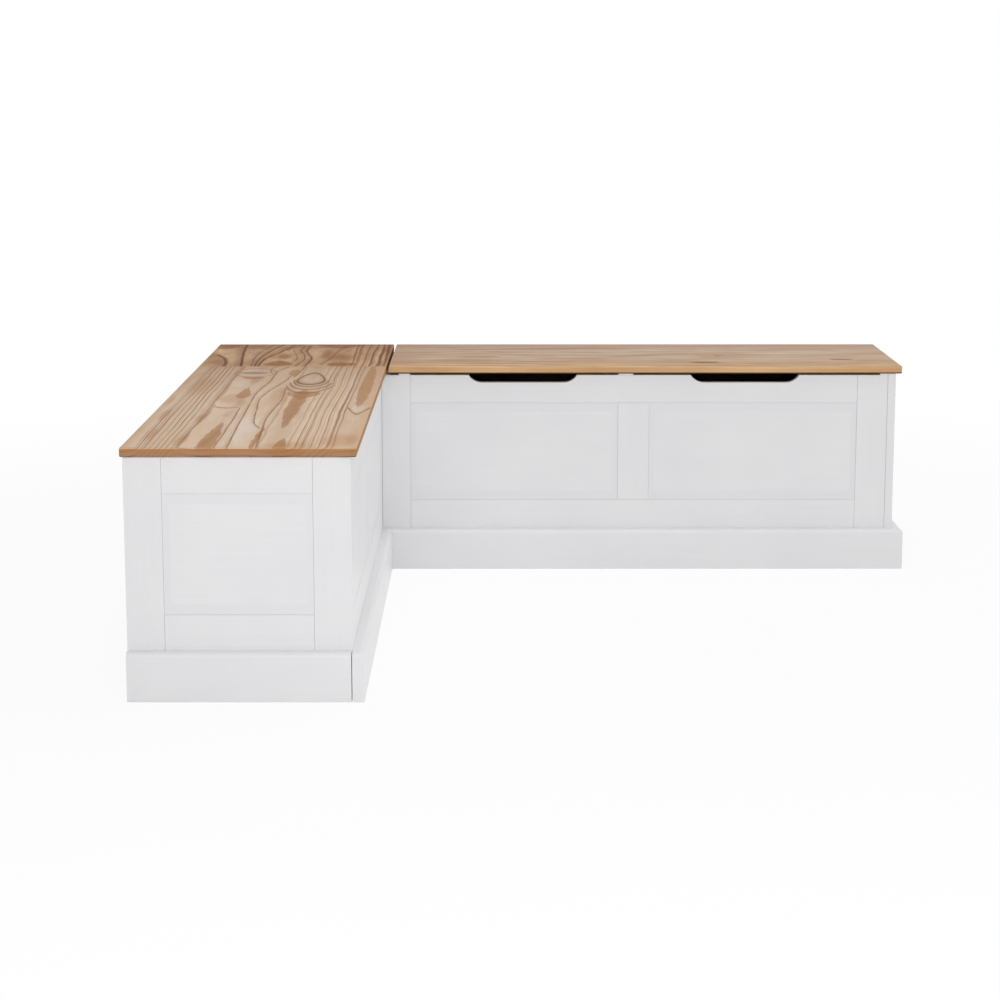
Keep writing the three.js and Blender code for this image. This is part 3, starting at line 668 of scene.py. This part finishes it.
def zincPlate(name, settings):
    finish = Finish(bpy.data.materials.new(name))
    even = finish.spot()
    spangle = finish.noise(even, settings["spangle"], 3.0)
    haze = finish.noise(even, settings["haze"], 2.0)
    marks = [axis * scale for axis, scale in zip(finish.place(), settings["brushed"])]
    brushed = finish.noise(finish.vector(*marks), 1.0, 2.0)
    shine = finish.span(haze + spangle * settings["spangleShare"], *settings["dullFrom"])
    colour = finish.mix(shine, settings["dull"], settings["body"])
    relief = settings["relief"]
    height = brushed * relief["brushed"] + spangle * relief["spangle"]
    roughness = (settings["roughness"] + spangle * settings["roughSpangle"]
                 + brushed * settings["roughBrushed"])
    return finish.coated(colour, roughness, height, settings)


zincFinish = zincPlate("zincPlatedSteel", zinc)


# Storage floor: thin board, white faced

liner = {
    "body": tone(226, 224, 218), "fleck": tone(206, 202, 192), "fleckFrom": (-0.9, 1.3),
    "flecks": 700.0, "clouds": 6.0, "cloudShare": 0.5,
    "roughness": 0.55, "roughnessVaries": 0.05,
    "bump": (0.15, 0.0003), "constants": {"Specular IOR Level": 0.3},
}


def floorLiner(name, settings):
    finish = Finish(bpy.data.materials.new(name))
    even = finish.spot()
    fleck = finish.noise(even, settings["flecks"], 3.0, 0.7)
    cloud = finish.noise(even, settings["clouds"], 3.0)
    clear = finish.span(fleck + cloud * settings["cloudShare"], *settings["fleckFrom"])
    colour = finish.mix(clear, settings["fleck"], settings["body"])
    roughness = settings["roughness"] + cloud * settings["roughnessVaries"]
    return finish.coated(colour, roughness, fleck, settings)


linerFinish = floorLiner("floorLiner", liner)
print("hardware and floor finishes mixed")


# Boards, taken from the frame with their sharp edges eased

softCrease = math.radians(38)  # where two faces meet more sharply, the edge shows
boardLook = {
    "arris": 0.0005, "steps": 2, "sharpFrom": math.radians(40), "outerOnly": 0.0005,
    "shortest": 2.5,  # in widths of the arris
    "creaseFrom": softCrease,
}
metalLook = {
    "arris": 0.0002, "steps": 1, "sharpFrom": math.radians(55), "outerOnly": None,
    "shortest": 2.5, "creaseFrom": softCrease,
}
panelLook = {"arris": 0.0, "creaseFrom": math.radians(0.8), "bevelFrom": 0.9, "bevelUpTo": 0.9999}
seatLook = {  # sideUpTo and flatFrom are rises of the faces' normals
    "arris": 0.0, "creaseFrom": softCrease, "sideUpTo": 0.1, "flatFrom": 0.98,
}
paintedJoint = {"gap": 0.0003, "near": 0.0001}
copied = {
    "marks": ("arris", "bevel", "edge", "inside", "under"),  # face values that finishes read
    "mergeWithin": 0.00001, "flatWithin": math.radians(0.5),
}
bare = {
    "from": 0.9,  # of a face's normal, towards the inside
    "hidden": ("corner_side_board", "right_inner_end_board", "corner_cross_rail"),
}
evenWeight = 80
chestMiddle = {
    "left": (-0.60, 0.0, 0.2), "corner": (-0.60, 0.60, 0.2), "right": (0.19, 0.60, 0.2),
}


def corners(nodeName):
    return [Vector(corner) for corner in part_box(nodeName)]


def bodyName(nodeName):
    return body_of(frame["nodes"][nodeName])[0]


def mergedCopy(nodeName):
    mesh = bmesh.new()
    mesh.from_mesh(frame["nodes"][nodeName].data)
    for layer in copied["marks"]:
        mesh.faces.layers.float.new(layer)
    bmesh.ops.remove_doubles(mesh, verts=mesh.verts, dist=copied["mergeWithin"])
    bmesh.ops.dissolve_limit(
        mesh, angle_limit=copied["flatWithin"], use_dissolve_boundaries=False,
        verts=mesh.verts, edges=mesh.edges,
    )
    return mesh


def inwardWay(nodeName, thin, low, high):
    # from a board to the middle of its chest, along the board's thin side
    chest = chestMiddle[nodeName.split("_")[0]]
    return math.copysign(1.0, chest[thin] - (low[thin] + high[thin]) / 2)


def closedJoint(mesh, nodeName, thin, low, high):
    # paint fills the hairline between a skirting and its frame
    if not nodeName.endswith("_skirting"):
        return
    way = inwardWay(nodeName, thin, low, high)
    back = low[thin] if way < 0 else high[thin]
    for vert in mesh.verts:
        if abs(vert.co[thin] - back) < paintedJoint["near"]:
            vert.co[thin] += way * paintedJoint["gap"]


def sharpEdges(mesh, look, thin, low, high):
    # those that lie wholly on the two broad faces, so that grooves and tongues stay crisp
    picked = []
    for edge in mesh.edges:
        if len(edge.link_faces) != 2 or not edge.is_convex:
            continue
        if edge.calc_face_angle() < look["sharpFrom"]:
            continue
        if edge.calc_length() < look["arris"] * look["shortest"]:
            continue
        inset = max(
            min(abs(vert.co[thin] - low[thin]), abs(vert.co[thin] - high[thin]))
            for vert in edge.verts
        )
        if look["outerOnly"] is None or inset < look["outerOnly"]:
            picked.append(edge)
    return picked


def easeEdges(mesh, look, thin, low, high):
    edges = sharpEdges(mesh, look, thin, low, high)
    if not edges:
        return
    made = bmesh.ops.bevel(
        mesh, geom=edges, offset=look["arris"], offset_type="OFFSET", affect="EDGES",
        segments=look["steps"], profile=0.5, material=-1, clamp_overlap=True,
    )
    arris = mesh.faces.layers.float["arris"]
    for face in made["faces"]:
        face[arris] = 1.0


def markBevels(mesh, nodeName, thin):
    # painted shade on the slopes round a raised panel: their paint is a little greyer
    if not nodeName.endswith("_panel"):
        return
    bevel = mesh.faces.layers.float["bevel"]
    mesh.normal_update()
    for face in mesh.faces:
        if panelLook["bevelFrom"] < abs(face.normal[thin]) < panelLook["bevelUpTo"]:
            face[bevel] = 1.0


def markRounds(mesh, nodeName):
    # a seat board's sides, its upper rounds, lighter as a painted highlight, and its lower
    # rounds, darker as painted shade
    if not nodeName.endswith(("_lid", "_top")):
        return
    edge, arris, under = (mesh.faces.layers.float[name] for name in ("edge", "arris", "under"))
    side, flat = seatLook["sideUpTo"], seatLook["flatFrom"]
    for face in mesh.faces:
        rise = face.normal.z
        face[edge] = 1.0 if abs(rise) < side else 0.0
        face[arris] = 1.0 if side <= rise < flat else 0.0
        face[under] = 1.0 if -flat < rise <= -side else 0.0


def markInside(mesh, nodeName, thin, low, high):
    # the faces that look into a chest are left as bare pine
    if nodeName.endswith(("_lid", "_top", "_skirting", "_rest")):
        return
    inside = mesh.faces.layers.float["inside"]
    hidden = nodeName in bare["hidden"]
    way = inwardWay(nodeName, thin, low, high)
    for face in mesh.faces:
        if hidden or face.normal[thin] * way > bare["from"]:
            face[inside] = 1.0


def newPiece(name, mesh, finish, look):
    data = bpy.data.meshes.new(name)
    mesh.normal_update()
    mesh.to_mesh(data)
    mesh.free()
    data.materials.append(finish)
    data.shade_smooth()
    data.set_sharp_from_angle(angle=look["creaseFrom"])
    piece = bpy.data.objects.new(name, data)
    bpy.context.scene.collection.objects.link(piece)
    if look["arris"]:
        even = piece.modifiers.new("evenNormals", "WEIGHTED_NORMAL")
        even.keep_sharp = True
        even.weight = evenWeight
    return piece


def dress(nodeName, finish, look):
    mesh = mergedCopy(nodeName)
    low, high = corners(nodeName)
    size = high - low
    thin = min(range(3), key=lambda axis: size[axis])
    closedJoint(mesh, nodeName, thin, low, high)
    if look["arris"]:
        easeEdges(mesh, look, thin, low, high)
    markBevels(mesh, nodeName, thin)
    markRounds(mesh, nodeName)
    markInside(mesh, nodeName, thin, low, high)
    body = bodyName(nodeName)
    piece = newPiece(nodeName + ".finished", mesh, finish, look)
    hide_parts(nodeName)
    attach(piece, body)


def paintedAlong(nodeName):
    # brushed along the piece's longest side
    low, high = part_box(nodeName)
    return paintAlong[max(range(3), key=lambda axis: high[axis] - low[axis])]


pineFor = {"left_lid": pineLeft, "right_lid": pineRight, "corner_top": pineCorner}
for name in sorted(frame["nodes"]):
    if name in pineFor:
        dress(name, pineFor[name], seatLook)
    elif "_hinge_" in name or "_stay_" in name:
        dress(name, zincFinish, metalLook)
    elif name.endswith("_floor"):
        dress(name, linerFinish, boardLook)
    elif name.endswith("_panel"):
        dress(name, paintedAlong(name), panelLook)
    else:
        dress(name, paintedAlong(name), boardLook)
print("boards and hardware dressed")


# Wood screws in the hinge leaves and stay plates

screw = {
    "headRadius": 0.0016, "footRadius": 0.0011, "depth": 0.0013, "sides": 16, "sunk": 0.00006,
    "rim": 0.0003, "recess": 0.0006, "taper": 0.00005,
    "waist": 0.42,  # of the recess, between the arms of its cross
    "armWithin": 0.1, "turn": 2.4,  # radians
    "leafPlaces": (-0.020, 0.0, 0.020), "leafReach": 0.00765, "leafFace": 0.00015,
    "plateThickness": 0.002, "plateRise": 0.01125, "flangeInset": 0.009, "flangeSpread": 0.0085,
}
screwLook = {"arris": 0.0, "creaseFrom": softCrease}
chestWays = {
    "left": {
        "inward": Vector((1, 0, 0)), "along": Vector((0, 1, 0)), "offEnd": Vector((0, 1, 0)),
    },
    "right": {
        "inward": Vector((0, -1, 0)), "along": Vector((1, 0, 0)), "offEnd": Vector((-1, 0, 0)),
    },
}
up = Vector((0, 0, 1))


def screwHead(mesh, settings, place, facing, turn):
    # a countersunk head with a cross recess, made upright and then set in its place
    older = set(mesh.verts)
    bmesh.ops.create_cone(
        mesh, cap_ends=True, segments=settings["sides"], depth=settings["depth"],
        radius1=settings["footRadius"], radius2=settings["headRadius"],
    )
    fresh = [vert for vert in mesh.verts if vert not in older]
    faces = {face for vert in fresh for face in vert.link_faces}
    top = max(faces, key=lambda face: face.calc_center_median().z)
    bmesh.ops.inset_individual(
        mesh, faces=[top], thickness=settings["rim"], depth=0.0, use_even_offset=True,
    )
    for vert in top.verts:
        offArm = math.remainder(math.atan2(vert.co.y, vert.co.x), math.pi / 2)
        if abs(offArm) > settings["armWithin"]:
            vert.co.x *= settings["waist"]
            vert.co.y *= settings["waist"]
    bmesh.ops.inset_individual(
        mesh, faces=[top], thickness=settings["taper"], depth=-settings["recess"],
        use_even_offset=False,
    )
    fresh = [vert for vert in mesh.verts if vert not in older]
    seat = Vector((0, 0, -settings["depth"] / 2 - settings["sunk"]))
    bmesh.ops.translate(mesh, verts=fresh, vec=seat)
    turned = facing.to_track_quat("Z", "Y") @ Quaternion(up, turn)
    bmesh.ops.rotate(mesh, verts=fresh, cent=(0, 0, 0), matrix=turned.to_matrix())
    bmesh.ops.translate(mesh, verts=fresh, vec=place)


def boxMiddle(nodeName):
    low, high = corners(nodeName)
    return (low + high) / 2, (high - low) / 2


def screwPlaces(side, settings):
    # the places of the heads and the ways that they face: on the chest, then on its lid
    ways = chestWays[side]
    fixed, moving = [], []
    for letter in "ab":
        axis = boxMiddle(f"{side}_hinge_{letter}_pin")[0]
        for place in settings["leafPlaces"]:
            hole = axis + ways["along"] * place + ways["inward"] * settings["leafReach"]
            fixed.append((hole - up * settings["leafFace"], up))
            moving.append((hole + up * settings["leafFace"], -up))
    middle, half = boxMiddle(f"{side}_stay_rail_plate")
    reach = abs(half.dot(ways["offEnd"]))
    face = middle + ways["offEnd"] * (settings["plateThickness"] - reach)
    for rise in (-settings["plateRise"], settings["plateRise"]):
        fixed.append((face + up * rise, ways["offEnd"]))
    middle, half = boxMiddle(f"{side}_stay_lid_bracket")
    reach = abs(half.dot(ways["offEnd"]))
    face = middle + ways["offEnd"] * (reach - settings["flangeInset"])
    face.z = middle.z + half.z - settings["plateThickness"]
    for spread in (-settings["flangeSpread"], settings["flangeSpread"]):
        moving.append((face + ways["inward"] * spread, -up))
    return fixed, moving


def screws(name, places, body, settings):
    mesh = bmesh.new()
    for count, (place, facing) in enumerate(places):
        screwHead(mesh, settings, place, facing, count * settings["turn"])
    bmesh.ops.recalc_face_normals(mesh, faces=mesh.faces)
    piece = newPiece(name, mesh, zincFinish, screwLook)
    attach(piece, body)


for side in chestWays:
    onChest, onLid = screwPlaces(side, screw)
    screws(side + "ChestScrews", onChest, bodyName(side + "_hinge_a_fixed_leaf"), screw)
    screws(side + "LidScrews", onLid, bodyName(side + "_lid"), screw)
print("screws driven")


# Stage

stage = {
    "floorColour": tone(245, 245, 245), "floorShade": tone(242, 242, 242), "floorClouds": 3.0,
    "shadeFrom": (-1.0, 1.0), "reach": 30.0, "white": 1.0,
    "lift": 0.9,  # share of the floor that is plain white to the camera, all of it from fadeTo
    "fadeFrom": 1.2, "fadeTo": 3.6,
    "world": 0.44,
}


def unlit(path):
    # rays that see the white background: from the camera, in metal and through glass
    kinds = ("Is Camera Ray", "Is Glossy Ray", "Is Transmission Ray")
    camera, glossy, through = (path.output(kind) for kind in kinds)
    return (camera + glossy + through).math("MINIMUM", 1.0)


def studioFloor(settings):
    mesh = bmesh.new()
    bmesh.ops.create_grid(mesh, x_segments=1, y_segments=1, size=settings["reach"])
    finish = Finish(bpy.data.materials.new("studioFloor"))
    x, y = finish.place()[:2]
    clouds = finish.noise(finish.spot(), settings["floorClouds"], 2.0)
    clouds = finish.span(clouds, *settings["shadeFrom"])
    plain = finish.node("ShaderNodeBsdfDiffuse", None, {
        "Color": finish.mix(clouds, settings["floorColour"], settings["floorShade"]),
    })
    glow = finish.node("ShaderNodeEmission", None, {
        "Color": (1, 1, 1, 1), "Strength": settings["white"],
    })
    away = (x * x + y * y).math("SQRT")
    fade = finish.span(away, settings["fadeFrom"], settings["fadeTo"]) * (1.0 - settings["lift"])
    seen = unlit(finish.node("ShaderNodeLightPath"))
    blend = finish.node("ShaderNodeMixShader", None, {
        0: seen * (fade + settings["lift"]), 1: plain, 2: glow,
    })
    data = bpy.data.meshes.new("studioFloor")
    mesh.to_mesh(data)
    mesh.free()
    data.materials.append(finish.surface(blend))
    floor = bpy.data.objects.new("studioFloor", data)
    bpy.context.scene.collection.objects.link(floor)


def studioWorld(settings):
    world = bpy.data.worlds.new("studioWorld")
    finish = Finish(world)
    share = unlit(finish.node("ShaderNodeLightPath"))
    level = share * (settings["white"] - settings["world"]) + settings["world"]
    sky = finish.node("ShaderNodeBackground", None, {"Color": (1, 1, 1, 1), "Strength": level})
    finish.surface(sky, "ShaderNodeOutputWorld")
    bpy.context.scene.world = world


lamps = {
    "frontLamp": {
        "place": (0.1, -3.7, 1.42), "aim": (-0.3, 0.0, 0.25), "size": (2.6, 0.4), "power": 40.5,
    },
    "sideLamp": {
        "place": (4.8, -0.1, 1.8), "aim": (0.0, -0.2, 0.25), "size": (2.0, 1.6), "power": 52.0,
    },
    "topLamp": {
        "place": (0.0, 0.5, 4.4), "aim": (-0.1, 0.2, 0.3), "size": (3.0, 4.0), "power": 60.0,
    },
}


def softLamp(name, settings):
    light = bpy.data.lights.new(name, "AREA")
    light.shape = "RECTANGLE"
    light.size, light.size_y = settings["size"]
    light.energy = settings["power"]
    lamp = bpy.data.objects.new(name, light)
    lamp.location = settings["place"]
    look = Vector(settings["aim"]) - Vector(settings["place"])
    lamp.rotation_euler = look.to_track_quat("-Z", "Y").to_euler()
    bpy.context.scene.collection.objects.link(lamp)


studioFloor(stage)
studioWorld(stage)
for name, settings in lamps.items():
    softLamp(name, settings)
print("studio set")


# Camera, at the photograph's angle

shot = {
    "place": (-0.12574, -5.06865, 1.15303), "pitch": 0.18037, "yaw": -0.00096,
    "lens": 86.63, "sensor": 36.0,
}


def photoCamera(settings):
    data = bpy.data.cameras.new("photoCamera")
    data.sensor_width = settings["sensor"]
    data.lens = settings["lens"]
    camera = bpy.data.objects.new("photoCamera", data)
    camera.location = settings["place"]
    camera.rotation_euler = (math.pi / 2 - settings["pitch"], 0.0, settings["yaw"])
    bpy.context.scene.collection.objects.link(camera)
    bpy.context.scene.camera = camera


photoCamera(shot)
bpy.context.scene.view_settings.view_transform = "Standard"
print("camera set")
